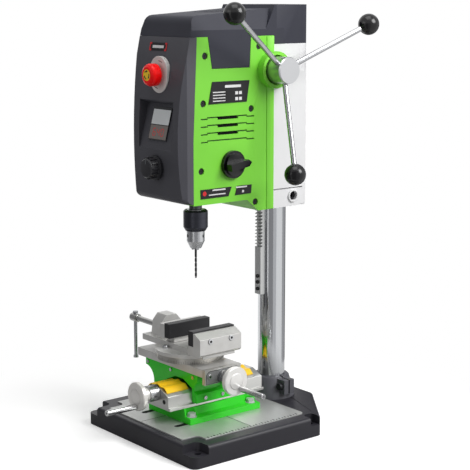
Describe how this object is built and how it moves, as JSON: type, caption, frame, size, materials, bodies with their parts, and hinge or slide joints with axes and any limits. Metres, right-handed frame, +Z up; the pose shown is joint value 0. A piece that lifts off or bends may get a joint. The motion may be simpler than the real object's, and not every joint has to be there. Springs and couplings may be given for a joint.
{
  "type": "benchtop drill press",
  "caption": "Bench drill press: base with steel table, column and rack, sliding motor head with spoked feed wheel, keyed chuck with bit, and a cross-slide vise.",
  "frame": {"origin": "middle of the base footprint, on the surface the base stands on", "axes": "+Z up along the column, +Y towards the column at the back, +X towards the feed wheel"},
  "size_m": [0.2819, 0.3637, 0.5756],
  "materials": {
    "base_paint": "charcoal textured paint",
    "plate_steel": "brushed",
    "chrome": "polished",
    "dark_steel": "blackened",
    "bright_steel": "turned",
    "grey_casting": "light grey paint",
    "green_cover": "moulded, satin",
    "dark_cover": "moulded, fine texture",
    "black_plastic": "gloss",
    "label": "bare printed film",
    "display": "glass window",
    "pale_plastic": "moulded",
    "red_plastic": "gloss",
    "board": "lacquered",
    "copper": "wound",
    "vise_green": "gloss paint",
    "bed_alloy": "machined",
    "yellow": "moulded",
    "vise_grey": "ground casting",
    "jaw_black": "blackened",
    "wheel_alloy": "turned"
  },
  "bodies": {
    "frame": {"base_casting": "base_paint", "table_plate": "plate_steel", "column_collar": "base_paint", "collar_screw": "dark_steel", "slide_base": "vise_green", "slide_bolts": "bright_steel", "lower_bed": "bed_alloy", "chip_guards": "yellow"},
    "post": {"column": "chrome", "rack": "bright_steel", "rack_screws": "bright_steel"},
    "head": {"head_casting": "grey_casting", "head_lock_screw": "dark_steel", "right_cover": "green_cover", "left_cover": "green_cover", "front_panel": "dark_cover", "top_cover": "dark_cover", "cover_screws": "dark_steel", "label_plates": "label", "display_module": "display", "estop_plate": "pale_plastic", "control_board": "board", "work_lamp": "pale_plastic", "motor_can": "bright_steel", "motor_plate": "bright_steel", "spindle_housing": "bed_alloy", "spindle_bearings": "bright_steel"},
    "feed_wheel": {"feed_shaft": "bright_steel", "feed_hub": "bright_steel", "feed_spokes": "chrome", "feed_knobs": "black_plastic"},
    "spindle_unit": {"spindle": "bright_steel", "spindle_gear": "bright_steel", "chuck_body": "bright_steel", "drill_bit": "dark_steel"},
    "key_sleeve": {"chuck_sleeve": "dark_steel"},
    "jaw_a": {"chuck_jaw_1": "bright_steel"},
    "jaw_b": {"chuck_jaw_2": "bright_steel"},
    "jaw_c": {"chuck_jaw_3": "bright_steel"},
    "rotor": {"motor_rotor": "copper"},
    "stop_button": {"estop_button": "red_plastic"},
    "speed_dial": {"speed_knob": "dark_cover"},
    "selector": {"selector_knob": "black_plastic"},
    "saddle_unit": {"saddle": "vise_green", "gib_screws": "bright_steel"},
    "lower_wheel": {"lower_screw": "bright_steel", "lower_handwheel": "wheel_alloy"},
    "lower_handle": {"lower_grip": "bright_steel"},
    "table_unit": {"upper_table": "vise_grey", "table_end": "bed_alloy", "swivel_base": "vise_grey"},
    "upper_wheel": {"upper_screw": "bright_steel", "upper_handwheel": "wheel_alloy"},
    "upper_handle": {"upper_grip": "bright_steel"},
    "vise": {"vise_body": "vise_grey", "fixed_jaw_plate": "jaw_black"},
    "vise_slide": {"movable_jaw": "vise_grey", "movable_jaw_plate": "jaw_black"},
    "vise_spindle": {"vise_screw": "bright_steel"},
    "tommy": {"tommy_bar": "bright_steel"}
  },
  "joints": [
    {"name": "column_swivel", "type": "hinge", "parent": "frame", "child": "post", "pos_m": [0, 0.091, 0.1], "axis": [0, 0, 1], "range_deg": [-45, 45]},
    {"name": "head_feed", "type": "slide", "parent": "post", "child": "head", "axis": [0, 0, -1], "range_m": [0, 0.06], "stiffness_N_per_m": 350, "springref_m": -0.3},
    {"name": "feed_turn", "type": "hinge", "parent": "head", "child": "feed_wheel", "pos_m": [0.08, 0.0431, 0.488], "axis": [1, 0, 0], "range_deg": [0, 144.24]},
    {"name": "spindle_spin", "type": "hinge", "parent": "head", "child": "spindle_unit", "pos_m": [0, -0.042, 0.354], "axis": [0, 0, 1], "continuous": true},
    {"name": "motor_spin", "type": "hinge", "parent": "head", "child": "rotor", "pos_m": [0, -0.0045, 0.432], "axis": [0, 0, 1], "continuous": true},
    {"name": "sleeve_turn", "type": "hinge", "parent": "spindle_unit", "child": "key_sleeve", "pos_m": [0, -0.042, 0.294], "axis": [0, 0, 1], "range_deg": [-1, 1441]},
    {"name": "jaw_a_slide", "type": "slide", "parent": "spindle_unit", "child": "jaw_a", "axis": [0.1736, 0, 0.9848], "range_m": [0, 0.006]},
    {"name": "jaw_b_slide", "type": "slide", "parent": "spindle_unit", "child": "jaw_b", "axis": [-0.0868, 0.1504, 0.9848], "range_m": [-0.0001, 0.0061]},
    {"name": "jaw_c_slide", "type": "slide", "parent": "spindle_unit", "child": "jaw_c", "axis": [-0.0868, -0.1504, 0.9848], "range_m": [-0.0001, 0.0061]},
    {"name": "stop_press", "type": "slide", "parent": "head", "child": "stop_button", "axis": [0, 1, 0], "range_m": [0, 0.0035], "stiffness_N_per_m": 900, "springref_m": -0.003},
    {"name": "speed_turn", "type": "hinge", "parent": "head", "child": "speed_dial", "pos_m": [0, -0.11397, 0.366], "axis": [0, -1, 0], "range_deg": [-150, 150]},
    {"name": "selector_turn", "type": "hinge", "parent": "head", "child": "selector", "pos_m": [0.06, -0.0236, 0.369], "axis": [1, 0, 0], "range_deg": [-90, 90]},
    {"name": "lower_wheel_turn", "type": "hinge", "parent": "frame", "child": "lower_wheel", "pos_m": [0, -0.136, 0.067], "axis": [0, 1, 0], "range_deg": [-1801, 1801]},
    {"name": "saddle_slide", "type": "slide", "parent": "frame", "child": "saddle_unit", "axis": [0, 1, 0], "range_m": [-0.02, 0.02]},
    {"name": "lower_grip_spin", "type": "hinge", "parent": "lower_wheel", "child": "lower_handle", "pos_m": [0.00045, -0.156, 0.05401], "axis": [0, 1, 0], "continuous": true},
    {"name": "upper_wheel_turn", "type": "hinge", "parent": "table_unit", "child": "upper_wheel", "pos_m": [0.08, -0.042, 0.089], "axis": [1, 0, 0], "range_deg": [-901, 1621]},
    {"name": "table_slide", "type": "slide", "parent": "saddle_unit", "child": "table_unit", "axis": [1, 0, 0], "range_m": [-0.01, 0.018]},
    {"name": "upper_grip_spin", "type": "hinge", "parent": "upper_wheel", "child": "upper_handle", "pos_m": [0.1, -0.03511, 0.07798], "axis": [1, 0, 0], "continuous": true},
    {"name": "vise_swivel", "type": "hinge", "parent": "table_unit", "child": "vise", "pos_m": [-0.014, -0.042, 0.1024], "axis": [0, 0, 1], "range_deg": [-45, 45]},
    {"name": "jaw_slide", "type": "slide", "parent": "vise", "child": "vise_slide", "axis": [1, 0, 0], "range_m": [0, 0.038]},
    {"name": "vise_screw_turn", "type": "hinge", "parent": "vise_slide", "child": "vise_spindle", "pos_m": [-0.14958, -0.042, 0.1308], "axis": [1, 0, 0], "range_deg": [-1, 3421]},
    {"name": "tommy_slide", "type": "slide", "parent": "vise_spindle", "child": "tommy", "axis": [0, 0, 1], "range_m": [0, 0.045]}
  ],
  "couplings": [
    {"joint": "feed_turn", "follows": "head_feed", "rad_per_m": 41.667},
    {"joint": "motor_spin", "follows": "spindle_spin", "ratio": -2.3333},
    {"joint": "sleeve_turn", "follows": "jaw_a_slide", "rad_per_m": 4188.8},
    {"joint": "jaw_b_slide", "follows": "jaw_a_slide", "ratio": 1},
    {"joint": "jaw_c_slide", "follows": "jaw_a_slide", "ratio": 1},
    {"joint": "lower_wheel_turn", "follows": "saddle_slide", "rad_per_m": 1570.8},
    {"joint": "upper_wheel_turn", "follows": "table_slide", "rad_per_m": 1570.8},
    {"joint": "vise_screw_turn", "follows": "jaw_slide", "rad_per_m": 1570.8}
  ]
}
